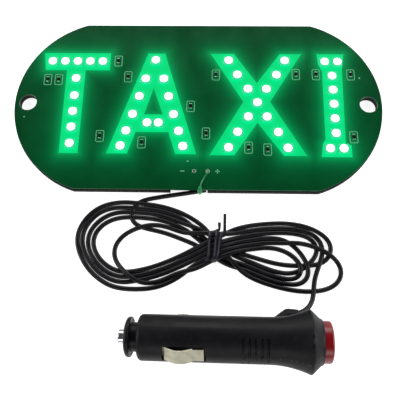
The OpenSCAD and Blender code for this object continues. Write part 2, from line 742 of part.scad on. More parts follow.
function contact_path() = let (a = [u_slot + 1.1, barrel_r - 1], b = [u_slot + 13.4, barrel_r - 0.3]) concat(
    [[u_slot - 1.2, contact_y], [u_slot + 0.6, contact_y]],
    [for (k = [0 : 10]) let (t = k / 10) a + (b - a) * t + [0, contact_bow * sin(180 * t)]],
    [[u_slot_end - 1, barrel_r - 0.3], [u_slot_end - 0.5, contact_y], [u_slot_end + root_l, contact_y]]);

module contact_strip() {
    difference() {
        translate([0, 0, -contact_w / 2]) linear_extrude(contact_w) polygon(ribbon(contact_path(), contact_t));
        for (s = [-1, 1]) mirror([0, 0, s < 0 ? 1 : 0])
            block([u_slot + 13.6, 0, tab_w / 2], [u_slot_end + root_l + 1, barrel_r + 2, contact_w]);
    }
}

module left_contact() {
    color("#cfcdb4") in_plug() mirror([0, 1, 0]) contact_strip();
}

module right_contact() {
    color("#cfcdb4") in_plug() contact_strip();
}

// Ring that joins the two contacts' roots, with a tail to the leads
module ground_strap() {
    tail = bore_r - 1;
    color("#c9a557") in_plug() {
        rod(bore_r - 0.4, u_strap, u_strap + strap_t, sleeve_r + fit_gap);
        block([u_strap, -1.4, -tail], [u_web + flange_web + 4, 1.4, -tail + strap_t]);
    }
}

// ---------- push switch ----------

// Hollow red cap with a boss for the plunger
module push_button() {
    inside_r = button_r - button_wall;
    crown = [for (a = [0 : 15 : 90]) [u_button - 1.8 + 1.1 * sin(a), button_r - 1.8 * (1 - cos(a))]];
    color("#b00c14", 0.9) in_plug() turned(concat(
        [[u_skirt, inside_r], [u_skirt, button_r]], crown,
        [[u_button - 0.25, button_r * 0.45], [u_button, 0], [u_button - button_wall, 0],
            [u_button - button_wall, plunger_r], [u_boss, plunger_r], [u_boss, plunger_r + 1.2],
            [u_button - button_wall - 0.7, plunger_r + 1.2], [u_button - button_wall - 1.2, inside_r]]));
}

module switch_plunger() {
    color("#e6e6e2") in_plug() rod(plunger_r, u_switch_end - 3.5, u_button - button_wall);
}

module button_spring() {
    color("#b9bcbe") in_plug() translate([u_switch_end, 0, 0])
        spring(plunger_r + 0.7, 0.3, u_boss - u_switch_end, 4);
}

module switch_housing() {
    color("#232427") in_plug() difference() {
        rod(bore_r - fit_gap, u_switch, u_switch_end);
        rod(plunger_r + slide_gap, u_switch_end - 3.5 - button_travel - 0.3, u_switch_end + 1);
        translate([0, pilot_y, 0]) rod(pilot_d / 2, u_switch_end - 1, u_switch_end + 1);
    }
}

// Three tabs at the front of the housing
module switch_terminals() {
    color("#c9a557") in_plug() for (z = [-4, 0, 4])
        block([u_switch - 3.6, -4.8, z - 0.9], [u_switch, -4.2, z + 0.9]);
}

module pilot_lamp() {
    color("#ff6a5a") in_plug() translate([0, pilot_y, 0]) {
        rod(pilot_d / 2, u_switch_end - 1, u_switch_end + 2.2);
        translate([u_switch_end + 2.2, 0, 0]) sphere(d = pilot_d, $fn = 32);
    }
}

// ---------- leads inside the plug ----------

module live_lead() {
    a = u_sleeve_end + 1;
    color("#a01818") in_plug() tube(smooth([[a, 0.9, 0], [a + 1.2, -4, 1], [a + 6, -6.2, 2.2], [a + 14, -6.3, 3],
        [u_switch - 4.8, -5.6, 4], [u_switch - 1, -5.4, 4]], 3), core_d / 2, 8, [0, 0, 1]);
}

module ground_lead() {
    a = u_web + flange_web + 2;
    tail = bore_r - 1;
    color("#1a1b1d") in_plug() tube(smooth([[a, 0, -tail + strap_t + core_d / 2], [a + 4, -2.5, 1.6 - tail],
        [a + 10, -5.2, 3 - tail], [a + 18, -6.2, -3.6], [u_switch - 4.8, -5.6, -4], [u_switch - 1, -5.4, -4]], 3),
        core_d / 2, 8, [0, 0, 1]);
}

module cord_cores() {
    rise = 0.31;
    color("#222225") in_plug() for (s = [-1, 1]) tube(smooth([
        [u_flare + 11, barrel_r + 1.2, rise * (barrel_r + 1.2) + 0.5 * s],
        [u_flare + 7, bore_r, rise * bore_r + 0.5 * s],
        [u_flare + 3.6, bore_r - 2.6, 0.3 * (bore_r - 2.6) + 0.9 * s],
        [u_flare + 3.2, 2.5, 1.8 * s], [u_flare + 3.4, -1.5, 2.2 * s], [u_switch - 2, -3.7, 2 * s]], 3),
        core_d / 2, 8, [0, 0, 1]);
}

circuit_board();
backing_sheet();
led_bodies_t();
led_bodies_a();
led_bodies_x();
led_bodies_i();
led_windows_t();
led_windows_a();
led_windows_x();
led_windows_i();
led_legs_t();
led_legs_a();
led_legs_x();
led_legs_i();
resistor_bodies();
resistor_ends();
plated_holes();
solder_joints();
lead_positive();
lead_negative();
glue_bead();
cord_board_end();
cord_coil();
cord_plug_end();
coil_tie();
shell_upper();
shell_lower();
shell_screws();
cable_hood();
nose_cap();
tip_pin();
tip_spring();
fuse_sleeve();
fuse_tube();
fuse_caps();
fuse_element();
fuse_cup();
fuse_spring();
centre_terminal();
left_contact();
right_contact();
ground_strap();
push_button();
switch_plunger();
button_spring();
switch_housing();
switch_terminals();
pilot_lamp();
live_lead();
ground_lead();
cord_cores();
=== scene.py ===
"""Looks of a lit cab sign: its lamps, its tied lead and its switched 12 V plug.

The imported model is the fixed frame, in metres. The classes here hold their sizes in
millimetres, and a mesh turns to metres when it is finished.
"""

import logging
import math
from collections.abc import Sequence
from dataclasses import dataclass, field
from enum import Enum

import bmesh
import bpy
import numpy as np
from mathutils import Matrix, Vector


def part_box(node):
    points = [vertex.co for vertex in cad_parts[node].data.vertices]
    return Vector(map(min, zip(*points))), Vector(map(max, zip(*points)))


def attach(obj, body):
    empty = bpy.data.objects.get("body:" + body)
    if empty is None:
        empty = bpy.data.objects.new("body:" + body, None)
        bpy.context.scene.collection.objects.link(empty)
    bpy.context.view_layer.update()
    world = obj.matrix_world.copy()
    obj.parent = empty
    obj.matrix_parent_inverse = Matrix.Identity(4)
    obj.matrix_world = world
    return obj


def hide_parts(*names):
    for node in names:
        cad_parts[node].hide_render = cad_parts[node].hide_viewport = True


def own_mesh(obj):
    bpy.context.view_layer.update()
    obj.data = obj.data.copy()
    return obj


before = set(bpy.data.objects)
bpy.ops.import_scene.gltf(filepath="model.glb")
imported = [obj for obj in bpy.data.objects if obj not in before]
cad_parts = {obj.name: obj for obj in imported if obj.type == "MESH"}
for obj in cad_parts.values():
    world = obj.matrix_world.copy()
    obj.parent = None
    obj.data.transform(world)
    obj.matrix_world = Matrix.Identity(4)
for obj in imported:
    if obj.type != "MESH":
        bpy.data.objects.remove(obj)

MM = 0.001
SRGB_TOE = 0.04045
BANDS_PER_SCALE = 6.3
log = logging.getLogger("sign")

Point = tuple[float, float]
Tree = bpy.types.NodeTree
Socket = bpy.types.NodeSocket
Piece = bpy.types.Object
Mesh = bmesh.types.BMesh
Vert = bmesh.types.BMVert
Edge = bmesh.types.BMEdge
Face = bmesh.types.BMFace


# ---------- materials ----------


def linear(hex_colour: str) -> tuple[float, float, float, float]:
    """Returns the linear light of an sRGB colour, given as "#rrggbb", with an alpha of 1."""
    parts = [int(hex_colour[i : i + 2], 16) / 255 for i in (1, 3, 5)]
    return (*[p / 12.92 if p <= SRGB_TOE else ((p + 0.055) / 1.055) ** 2.4 for p in parts], 1.0)


def per(size: float) -> float:
    """Returns the texture scale whose features are about size millimetres."""
    return 1.0 / (size * MM)


def add(tree: Tree, kind: str, inputs: dict | None = None, **settings) -> bpy.types.Node:
    """Adds a shader node.

    Args:
        tree: the material's node tree.
        kind: the node's type without its ShaderNode prefix.
        inputs: a value or an output socket for each input, by name or by index.
        **settings: the node's own properties.

    Returns:
        The new node.
    """
    node = tree.nodes.new(f"ShaderNode{kind}")
    for name, value in settings.items():
        setattr(node, name, value)
    for name, value in (inputs or {}).items():
        if isinstance(value, Socket):
            tree.links.new(value, node.inputs[name])
        else:
            node.inputs[name].default_value = value
    return node


@dataclass(frozen=True)
class Finish:
    """What every finish has: a name, a colour and how rough it is."""

    name: str
    colour: str
    roughness: float

    def material(self) -> bpy.types.Material:
        """Returns the finish's material, made the first time it is asked for."""
        made = bpy.data.materials.get(self.name)
        if made is None:
            made = bpy.data.materials.new(self.name)
            made.use_nodes = True
            made.diffuse_color = linear(self.colour)
            tree = made.node_tree
            tree.nodes.clear()
            place = add(tree, "TexCoord").outputs["Object"]
            plain = {"Base Color": linear(self.colour), "Roughness": self.roughness}
            shader = add(tree, "BsdfPrincipled", plain | self.inputs(tree, place))
            add(tree, "OutputMaterial", {"Surface": shader.outputs[0]})
        return made

    def inputs(self, tree: Tree, place: Socket) -> dict:
        """Adds the patterns and returns the inputs that aren't plainly the colour and roughness."""
        raise NotImplementedError


def blended(tree: Tree, share: Socket, first: str | Socket, second: str | Socket) -> Socket:
    """Mixes two colours, each a "#rrggbb" or a socket, by the share of the second."""
    first, second = (linear(c) if isinstance(c, str) else c for c in (first, second))
    return add(tree, "Mix", {0: share, 6: first, 7: second}, data_type="RGBA").outputs[2]


def spread(tree: Tree, value: Socket, low: float, high: float, to: Point) -> Socket:
    """Maps a value from low..high to the two numbers in to, and returns the socket."""
    inputs = {"Value": value, "From Min": low, "From Max": high, "To Min": to[0], "To Max": to[1]}
    return add(tree, "MapRange", inputs).outputs["Result"]


def noise(tree: Tree, place: Socket, size: float, detail: float) -> Socket:
    """Returns cloudy noise whose features are about size millimetres."""
    return add(tree, "TexNoise", {"Vector": place, "Scale": per(size), "Detail": detail}).outputs["Fac"]


def relief(tree: Tree, height: Socket, strength: float, depth: float) -> Socket:
    """Returns the normals of a skin whose height pattern is depth millimetres deep."""
    inputs = {"Height": height, "Strength": strength, "Distance": depth * MM}
    return add(tree, "Bump", inputs).outputs["Normal"]


@dataclass(frozen=True)
class MouldedPlastic(Finish):
    """Injection-moulded ABS with a spark-eroded skin: a soft sheen over fine grain."""

    worn: str = "#141317"
    grain: float = 0.35
    grain_depth: float = 0.02
    coat: float = 0.0

    def inputs(self, tree: Tree, place: Socket) -> dict:
        """Adds the grain, slow flow marks in the gloss and handling wear."""
        flow = noise(tree, place, 14, 3.0)
        grain = noise(tree, place, self.grain, 2.0)
        rubbed = add(tree, "TexNoise", {"Vector": place, "Scale": per(3), "Detail": 6.0, "Roughness": 0.7})
        wear = spread(tree, rubbed.outputs["Fac"], 0.45, 0.75, (0.0, 1.0))
        return {
            "Base Color": blended(tree, wear, self.colour, self.worn),
            "Roughness": spread(tree, flow, 0.35, 0.65, (self.roughness - 0.05, self.roughness + 0.07)),
            "IOR": 1.53,
            "Specular IOR Level": 0.12,
            "Coat Weight": self.coat,
            "Coat Roughness": 0.3,
            "Normal": relief(tree, grain, 0.5, self.grain_depth),
        }


@dataclass(frozen=True)
class PlatedMetal(Finish):
    """Plated or drawn metal: a clean mirror base broken by rubbing marks and dull patches."""

    stain: str = "#6f6a58"
    mark: float = 0.25
    mark_depth: float = 0.01
    stretch: float = 12.0

    def inputs(self, tree: Tree, place: Socket) -> dict:
        """Adds fine marks that run along the part and cloudy tarnish."""
        drawn = add(tree, "Mapping", {"Vector": place, "Scale": (1.0 / self.stretch, 1.0, 1.0)}).outputs[0]
        marks = noise(tree, drawn, self.mark, 4.0)
        cloud = noise(tree, place, 2.5, 5.0)
        dull = spread(tree, cloud, 0.5, 0.8, (0.0, 0.6))
        return {
            "Base Color": blended(tree, dull, self.colour, self.stain),
            "Metallic": 1.0,
            "Roughness": spread(tree, cloud, 0.3, 0.8, (self.roughness * 0.8, self.roughness * 1.5)),
            "Normal": relief(tree, marks, 0.4, self.mark_depth),
        }


@dataclass(frozen=True)
class SolderMask(Finish):
    """Glossy green resist over glass cloth: a deep colour that lifts where the lamps light it."""

    lit: str = "#00b463"
    glow: float = 1.0
    weave: float = 0.9

    def inputs(self, tree: Tree, place: Socket) -> dict:
        """Adds the cloth's faint weave, pooling of the resist and the lamps' light on the board."""
        threads = {"Vector": place, "Scale": per(self.weave) / BANDS_PER_SCALE, "Distortion": 0.6}
        warp = add(tree, "TexWave", threads, bands_direction="X").outputs["Fac"]
        weft = add(tree, "TexWave", threads, bands_direction="Y").outputs["Fac"]
        cloth = add(tree, "Math", {0: warp, 1: weft}, operation="MULTIPLY").outputs[0]
        pool = noise(tree, place, 9, 4.0)
        pooled = spread(tree, pool, 0.35, 0.7, (0.0, 1.0))
        deep = blended(tree, pooled, self.colour, "#003317")
        halo = add(tree, "Attribute", attribute_name="halo").outputs["Fac"]
        return {
            "Base Color": blended(tree, spread(tree, cloth, 0.0, 1.0, (0.0, 0.12)), deep, "#04421d"),
            "Roughness": spread(tree, pool, 0.3, 0.7, (self.roughness, self.roughness + 0.06)),
            "IOR": 1.5,
            "Specular IOR Level": 0.18,
            "Emission Color": blended(tree, halo, "#000000", self.lit),
            "Emission Strength": self.glow,
            "Normal": relief(tree, cloth, 0.12, 0.01),
        }


@dataclass(frozen=True)
class LitInk(Finish):
    """White letter ink flooded by green lamps: bright green, paler close to a lamp."""

    near: str = "#00fa9c"
    strength: float = 1.0

    def inputs(self, tree: Tree, place: Socket) -> dict:
        """Adds the ink's mottle and the light that falls off from each lamp."""
        mottle = noise(tree, place, 1.2, 4.0)
        lit = add(tree, "Attribute", attribute_name="lit").outputs["Fac"]
        patchy = spread(tree, mottle, 0.3, 0.7, (0.85, 1.1))
        uneven = add(tree, "Math", {0: lit, 1: patchy}, operation="MULTIPLY")
        return {
            "Base Color": linear("#00401f"),
            "Specular IOR Level": 0.05,
            "Emission Color": blended(tree, uneven.outputs[0], self.colour, self.near),
            "Emission Strength": self.strength,
            "Normal": relief(tree, mottle, 0.2, 0.02),
        }


@dataclass(frozen=True)
class PrintedInk(Finish):
    """Screen-printed epoxy ink: matt, a little uneven at its thin edges."""

    def inputs(self, tree: Tree, place: Socket) -> dict:
        """Adds the ink's uneven cover."""
        cover = noise(tree, place, 0.4, 3.0)
        thin = spread(tree, cover, 0.4, 0.75, (0.0, 0.5))
        return {"Base Color": blended(tree, thin, self.colour, "#0a5a2c")}


@dataclass(frozen=True)
class LampPart(Finish):
    """The parts of a lit lamp: milky plastic that the chip's light comes through."""

    light: str = "#ffffff"
    deep: str = "#00d884"
    strength: float = 1.0

    def inputs(self, tree: Tree, place: Socket) -> dict:
        """Adds the milky cast of the plastic and its light."""
        milk = noise(tree, place, 1.5, 2.0)
        share = spread(tree, milk, 0.35, 0.65, (0.0, 0.35))
        return {
            "Subsurface Weight": 0.1,
            "Subsurface Scale": 0.5 * MM,
            "Emission Color": blended(tree, share, self.light, self.deep),
            "Emission Strength": self.strength,
        }


@dataclass(frozen=True)
class Jacket(Finish):
    """Extruded PVC lead jacket: soft black with a waxy sheen and faint drag lines."""

    def inputs(self, tree: Tree, place: Socket) -> dict:
        """Adds bloom on the vinyl, dust and an extruder's fine ripple."""
        bloom = noise(tree, place, 5, 4.0)
        ripple = noise(tree, place, 0.5, 3.0)
        pale = spread(tree, bloom, 0.45, 0.75, (0.0, 0.5))
        return {
            "Base Color": blended(tree, pale, self.colour, "#17151b"),
            "Roughness": spread(tree, bloom, 0.3, 0.7, (self.roughness - 0.06, self.roughness + 0.08)),
            "IOR": 1.5,
            "Specular IOR Level": 0.22,
            "Sheen Weight": 0.02,
            "Sheen Roughness": 0.4,
            "Sheen Tint": linear("#8d86a8"),
            "Normal": relief(tree, ripple, 0.35, 0.03),
        }


@dataclass(frozen=True)
class CellFoam(Finish):
    """Closed-cell foam sheet: matt black with fine open pores on its cut edge."""

    pore: float = 0.6

    def inputs(self, tree: Tree, place: Socket) -> dict:
        """Adds the pores, with painted shade darkening their pits."""
        cells = add(tree, "TexVoronoi", {"Vector": place, "Scale": per(self.pore)}).outputs["Distance"]
        return {
            # the pits' near-black colour is painted shade, set where the bump is lowest
            "Base Color": blended(tree, cells, "#050505", self.colour),
            "Specular IOR Level": 0.25,
            "Normal": relief(tree, cells, 0.6, 0.12),
        }


@dataclass(frozen=True)
class ClearPart(Finish):
    """Clear or tinted glass, glue or polycarbonate, told apart by tint, haze, how much passes and a painted
    glow of light.
    """

    passes: float = 0.9
    ior: float = 1.5
    ripple: float = 1.5
    glow: float = 0.0

    def inputs(self, tree: Tree, place: Socket) -> dict:
        """Adds the tint's depth and a slow ripple of the skin."""
        wave = noise(tree, place, self.ripple, 2.0)
        depth = spread(tree, wave, 0.3, 0.7, (0.85, 1.1))
        tint = add(tree, "HueSaturation", {"Color": linear(self.colour), "Value": depth})
        return {
            "Base Color": tint.outputs["Color"],
            "IOR": self.ior,
            "Transmission Weight": self.passes,
            # a glow here is painted light on a part that is no lamp
            "Emission Color": linear(self.colour),
            "Emission Strength": self.glow,
            "Normal": relief(tree, wave, 0.2, 0.05),
        }


@dataclass(frozen=True)
class Paper(Finish):
    """Matt paper that glows a little, so that it stays plain."""

    glow: float = 0.85

    def inputs(self, tree: Tree, place: Socket) -> dict:
        """Adds the paper's glow, and no pattern."""
        return {
            "Specular IOR Level": 0.0,
            "Emission Color": linear("#ffffff"),
            "Emission Strength": self.glow,
        }


SHELL_ABS = MouldedPlastic("shell_abs_spark_eroded", "#0b0a0d", 0.44)
CAP_ABS = MouldedPlastic("cap_abs_polished", "#0a090c", 0.34, grain=0.6, grain_depth=0.01)
HOOD_PVC = MouldedPlastic("hood_soft_pvc", "#0b0a0d", 0.4, grain=0.5)
INNER_ABS = MouldedPlastic("inner_abs_plain", "#26272a", 0.5)
WHITE_POM = MouldedPlastic("plunger_acetal_natural", "#e2e1da", 0.4, worn="#cfcdc2")
# the resistor bodies' green tint, in the base and the worn colour alike, is painted lamp light
CHIP_BLACK = MouldedPlastic("resistor_glass_overcoat", "#08120d", 0.3, worn="#10231a", grain=0.25)
TIE_PVC = MouldedPlastic("tie_pvc_glossy", "#141219", 0.28, worn="#2a2633", grain=0.8, coat=0.3)
TIN = PlatedMetal("terminal_tin_matt", "#c6cac8", 0.38, stain="#8b9089")
# the green tint of this tin, and of its stain, is painted lamp light
END_TIN = PlatedMetal("resistor_end_tin_lit", "#86b89a", 0.45, stain="#3f6650")
SOLDER = PlatedMetal("solder_tin_lead", "#d4d8d6", 0.2, stain="#9da39c", mark=0.6)
CHROME = PlatedMetal("tip_chrome_plated", "#cfd1d3", 0.14, stain="#8f9192", mark=0.5, mark_depth=0.004)
CONTACT_NICKEL = PlatedMetal("contact_nickel_warm", "#a9a794", 0.42, stain="#75725f")
SPRING_STEEL = PlatedMetal("spring_steel_drawn", "#aeb1b3", 0.25, stain="#6e7072")
SCREW_STEEL = PlatedMetal("screw_steel_zinc", "#9da1a3", 0.3, stain="#5f6365")
BRASS = PlatedMetal("terminal_brass_stamped", "#c49f52", 0.28, stain="#7d6330")
PAPER = Paper("table_paper_white", "#c8c8c8", 0.9)
MASK = SolderMask("board_solder_mask_green", "#002b12", 0.2)
LETTER_INK = LitInk("letter_ink_lit_green", "#00ce70", 0.6)
# this white ink's green colour is painted lamp light
WHITE_INK = PrintedInk("marking_ink_white", "#5fb583", 0.6)
LAMP_BODY = LampPart("lamp_body_milky", "#1b4a33", 0.4, light="#35e6a0", strength=0.85)
LAMP_WINDOW = LampPart("lamp_window_lit", "#ffffff", 0.2, light="#fafffc", deep="#dffff0", strength=1.5)
JACKET = Jacket("lead_pvc_black", "#08070a", 0.34)
CORE_BLACK = Jacket("core_pvc_black", "#121113", 0.4)
CORE_RED = Jacket("core_pvc_red", "#8c1216", 0.4)
FOAM = CellFoam("backing_eva_foam", "#17181a", 0.85)
# the glue's and the lit core's green tint and glow are painted lamp light
GLUE = ClearPart("glue_hot_melt", "#2c9a5e", 0.25, passes=0.5, ior=1.48, glow=0.08)
LIT_CORE = ClearPart("core_pvc_lit_green", "#1c7444", 0.25, passes=0.2, ior=1.53, glow=0.1)
FUSE_GLASS = ClearPart("fuse_glass_clear", "#e4f4f2", 0.03, passes=1.0)
# the button's faint glow is painted light; nothing lights it
RED_LENS = ClearPart("button_polycarbonate_red", "#7e000e", 0.28, passes=0.2, ior=1.45, glow=0.03)


# ---------- mesh tools ----------


def placed(name: str, data: bpy.types.ID) -> Piece:
    """Makes an object from its data and puts it in the scene."""
    made = bpy.data.objects.new(name, data)
    bpy.context.scene.collection.objects.link(made)
    return made


def painted(piece: Piece, name: str, values: Sequence[float]) -> None:
    """Stores one value for each vertex, which a finish reads by its name."""
    piece.data.attributes.new(name, "FLOAT", "POINT").data.foreach_set("value", values)


def verts_in(geometry: Sequence[Vert | Edge | Face]) -> list[Vert]:
    """Returns the vertices among a mesh's elements."""
    return [g for g in geometry if isinstance(g, Vert)]


def raised(bm: Mesh, faces: Sequence[Face], height: float) -> None:
    """Raises flat faces to a slab of some height, in millimetres."""
    grown = bmesh.ops.extrude_face_region(bm, geom=list(faces))["geom"]
    bmesh.ops.translate(bm, vec=(0, 0, height), verts=verts_in(grown))


def cad_copy(node: str) -> Mesh:
    """Copies a CAD node's mesh in millimetres, with its loose triangles joined and its flats whole.

    Args:
        node: the node's name.

    Returns:
        The copy, for the caller to shape and finish.
    """
    bm = bmesh.new()
    bm.from_mesh(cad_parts[node].data)
    bmesh.ops.scale(bm, vec=(1 / MM,) * 3, verts=bm.verts)
    bmesh.ops.remove_doubles(bm, verts=bm.verts, dist=0.002)
    bmesh.ops.dissolve_limit(bm, angle_limit=math.radians(0.6), verts=bm.verts, edges=bm.edges)
    return bm


def round_edges(bm: Mesh, radius: float, segments: int = 2, sharper: float = 40.0) -> Mesh:
    """Rounds the edges that turn by more than some angle.

    Args:
        bm: the mesh, in millimetres.
        radius: how far the round reaches from the edge.
        segments: the faces across the round.
        sharper: the least angle between an edge's faces, in degrees.

    Returns:
        The same mesh.
    """
    least = math.radians(sharper)
    sharp = [e for e in bm.edges if len(e.link_faces) == 2 and e.calc_face_angle(0.0) > least]
    bmesh.ops.bevel(bm, geom=sharp, offset=radius, offset_type="OFFSET", segments=segments, profile=0.5,
                    affect="EDGES", material=-1, clamp_overlap=True)
    return bm


def finished(bm: Mesh, name: str, finish: Finish, body: str = "sign",
             stands_for: Sequence[str] = (), smooth: float = 32.0) -> Piece:
    """Turns a mesh in millimetres to a piece of the object.

    Args:
        bm: the mesh, which is used up.
        name: the piece's name.
        finish: its finish.
        body: the body it rides on.
        stands_for: the CAD nodes that it replaces.
        smooth: edges that turn by less than this angle are shaded smooth, in degrees.

    Returns:
        The piece, at the origin, with its place in its mesh.
    """
    bmesh.ops.scale(bm, vec=(MM,) * 3, verts=bm.verts)
    mesh = bpy.data.meshes.new(name)
    bm.to_mesh(mesh)
    bm.free()
    mesh.shade_smooth()
    mesh.set_sharp_from_angle(angle=math.radians(smooth))
    piece = placed(name, mesh)
    piece.modifiers.new("flat_faces_lead", "WEIGHTED_NORMAL").keep_sharp = True
    mesh.materials.append(finish.material())
    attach(piece, body)
    if stands_for:
        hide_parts(*stands_for)
    log.info("piece %s: %d faces", name, len(mesh.polygons))
    return piece


def rounded(node: str, finish: Finish, body: str, slot: str, radius: float) -> None:
    """Replaces a CAD node by a copy whose edges are rounded by a radius."""
    bm = round_edges(cad_copy(node), radius)
    finished(bm, f"{node}_rounded", finish, body=body, stands_for=[node])


def dress(finish: Finish, *nodes: str) -> None:
    """Gives CAD nodes that stay as they are a finish."""
    for name in nodes:
        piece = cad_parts[name]
        piece.data.materials.clear()
        piece.data.materials.append(finish.material())
        log.info("node %s: %s", name, finish.name)


def islands(bm: Mesh) -> list[list[Vert]]:
    """Returns the vertices of each separate solid in a mesh."""
    left, groups = set(bm.verts), []
    while left:
        group, queue = [], [left.pop()]
        while queue:
            vert = queue.pop()
            group.append(vert)
            for edge in vert.link_edges:
                other = edge.other_vert(vert)
                if other in left:
                    left.remove(other)
                    queue.append(other)
        groups.append(group)
    return groups


def centres(node: str) -> list[Vector]:
    """Returns the centre of each solid in a CAD node, in millimetres, in a fixed order."""
    bm = cad_copy(node)
    found = []
    for group in islands(bm):
        low = Vector([min(v.co[i] for v in group) for i in range(3)])
        high = Vector([max(v.co[i] for v in group) for i in range(3)])
        found.append((low + high) / 2)
    bm.free()
    return sorted(found, key=lambda p: (round(p.x, 2), round(p.y, 2)))


def grid_cut(bm: Mesh, pitch: float) -> None:
    """Cuts a mesh along a square grid in plan, so that it can hold a smooth pattern of light."""
    for axis in (0, 1):
        low = min(v.co[axis] for v in bm.verts)
        high = max(v.co[axis] for v in bm.verts)
        normal = Vector((1 - axis, axis, 0))
        for k in range(1, math.ceil((high - low) / pitch)):
            geometry = [*bm.verts, *bm.edges, *bm.faces]
            line = normal * (low + k * pitch)
            bmesh.ops.bisect_plane(bm, geom=geometry, dist=1e-4, plane_co=line, plane_no=normal)


def sweep(section: Sequence[Point], frames: Sequence[Matrix]) -> Mesh:
    """Draws a section along a path.

    Args:
        section: the section's corners in its own plane.
        frames: the section's place at each step, whose Z runs along the path.

    Returns:
        A closed mesh.
    """
    bm = bmesh.new()
    cap = bm.faces.new([bm.verts.new(frames[0] @ Vector((x, y, 0))) for x, y in section])
    for before, after in zip(frames, frames[1:]):
        grown = bmesh.ops.extrude_face_region(bm, geom=[cap])["geom"]
        cap = next(g for g in grown if isinstance(g, Face))
        bmesh.ops.transform(bm, matrix=after @ before.inverted(), verts=list(cap.verts))
    bmesh.ops.recalc_face_normals(bm, faces=bm.faces)
    return bm


def smoothed(keys: Sequence[Sequence[float]], steps: int) -> np.ndarray:
    """Runs a smooth curve through points.

    Args:
        keys: the points to pass through.
        steps: the stretches between one point and the next.

    Returns:
        One row for each point of the curve, with the key number added as its last column.
    """
    p = np.array(keys, float)
    last = len(p) - 1
    rows = []
    for i in range(last):
        a, b, c, d = p[max(i - 1, 0)], p[i], p[i + 1], p[min(i + 2, last)]
        for t in np.arange(steps) / steps:
            place = 0.5 * (2 * b + (c - a) * t + (2 * a - 5 * b + 4 * c - d) * t**2
                           + (3 * b - a - 3 * c + d) * t**3)
            rows.append([*place, i + t])
    rows.append([*p[-1], last])
    return np.array(rows)


def evenly(rows: np.ndarray, step: float) -> np.ndarray:
    """Spaces a path's points evenly.

    Args:
        rows: one row for each point; its first three columns are the place.
        step: about how far apart the new points are.

    Returns:
        The new rows, with the same columns.
    """
    along = np.concatenate([[0.0], np.cumsum(np.linalg.norm(np.diff(rows[:, :3], axis=0), axis=1))])
    places = np.linspace(0.0, along[-1], round(along[-1] / step) + 1)
    return np.stack([np.interp(places, along, column) for column in rows.T], axis=1)


# ---------- studio ----------


@dataclass(frozen=True)
class Softbox:
    """A large soft lamp that looks at the table."""

    name: str
    place: tuple[float, float, float]
    size: Point
    watts: float


@dataclass
class Studio:
    """The table, the soft boxes round it and the camera."""

    camera_place: Vector = field(default_factory=lambda: Vector((8.0, -132.7, 246.6)))
    lean: float = 17.765
    side_lean: float = 0.985
    turn: float = 0.99
    lens: float = 45.0
    target: Vector = field(default_factory=lambda: Vector((0, -60, 0)))
    table_half: float = 12000.0
    room_light: float = 0.09
    boxes: tuple[Softbox, ...] = (
        Softbox("box_back", (0, 640, 340), (1500, 400), 7.5),
        Softbox("box_left", (-640, -60, 330), (500, 420), 3.5),
        Softbox("box_right", (640, -60, 330), (500, 420), 3.5),
        Softbox("box_front", (0, -720, 360), (900, 300), 2.5),
    )

    def build(self) -> None:
        """Makes the camera first, then the table and the lights."""
        self.camera()
        self.table()
        for box in self.boxes:
            self.softbox(box)
        self.air()

    def camera(self) -> None:
        """Hangs the camera over the table, leaning towards the sign."""
        data = bpy.data.cameras.new("camera")
        data.lens = self.lens
        data.clip_start = 0.01
        data.clip_end = 20.0
        camera = placed("camera", data)
        look = (Matrix.Rotation(math.radians(-self.lean), 4, "X")
                @ Matrix.Rotation(math.radians(-self.side_lean), 4, "Y")
                @ Matrix.Rotation(math.radians(-self.turn), 4, "Z"))
        camera.matrix_world = Matrix.Translation(self.camera_place * MM) @ look.transposed()
        bpy.context.scene.camera = camera

    def table(self) -> None:
        """Lays a sheet of white paper under everything."""
        bm = bmesh.new()
        bmesh.ops.create_grid(bm, x_segments=1, y_segments=1, size=self.table_half * MM)
        mesh = bpy.data.meshes.new("table")
        bm.to_mesh(mesh)
        bm.free()
        table = placed("table", mesh)
        mesh.materials.append(PAPER.material())

    def softbox(self, box: Softbox) -> None:
        """Hangs one soft box, turned to the middle of the table."""
        data = bpy.data.lights.new(box.name, "AREA")
        data.shape = "RECTANGLE"
        data.size, data.size_y = (side * MM for side in box.size)
        data.energy = box.watts
        lamp = placed(box.name, data)
        lamp.location = Vector(box.place) * MM
        lamp.rotation_mode = "QUATERNION"
        lamp.rotation_quaternion = ((self.target - Vector(box.place)) * MM).to_track_quat("-Z", "Y")

    def air(self) -> None:
        """Fills the room with dim even light."""
        world = bpy.data.worlds.new("room")
        world.use_nodes = True
        background = world.node_tree.nodes["Background"].inputs
        background["Color"].default_value = (1.0, 1.0, 1.0, 1.0)
        background["Strength"].default_value = self.room_light
        bpy.context.scene.world = world
        bpy.context.scene.view_settings.view_transform = "Standard"


# ---------- lead ----------


class Row(Enum):
    """The two layers in which the lead's strands pass through the tie, by height."""

    LOWER = 1.9
    UPPER = 4.35


@dataclass(frozen=True)
class Turn:
    """One turn of the bundle, from where it leaves the tie to where it comes back.

    The pass before it goes through the tie in a row, at a place across it.
    """

    row: Row
    across: float
    over: int
    keys: tuple[Point, ...]


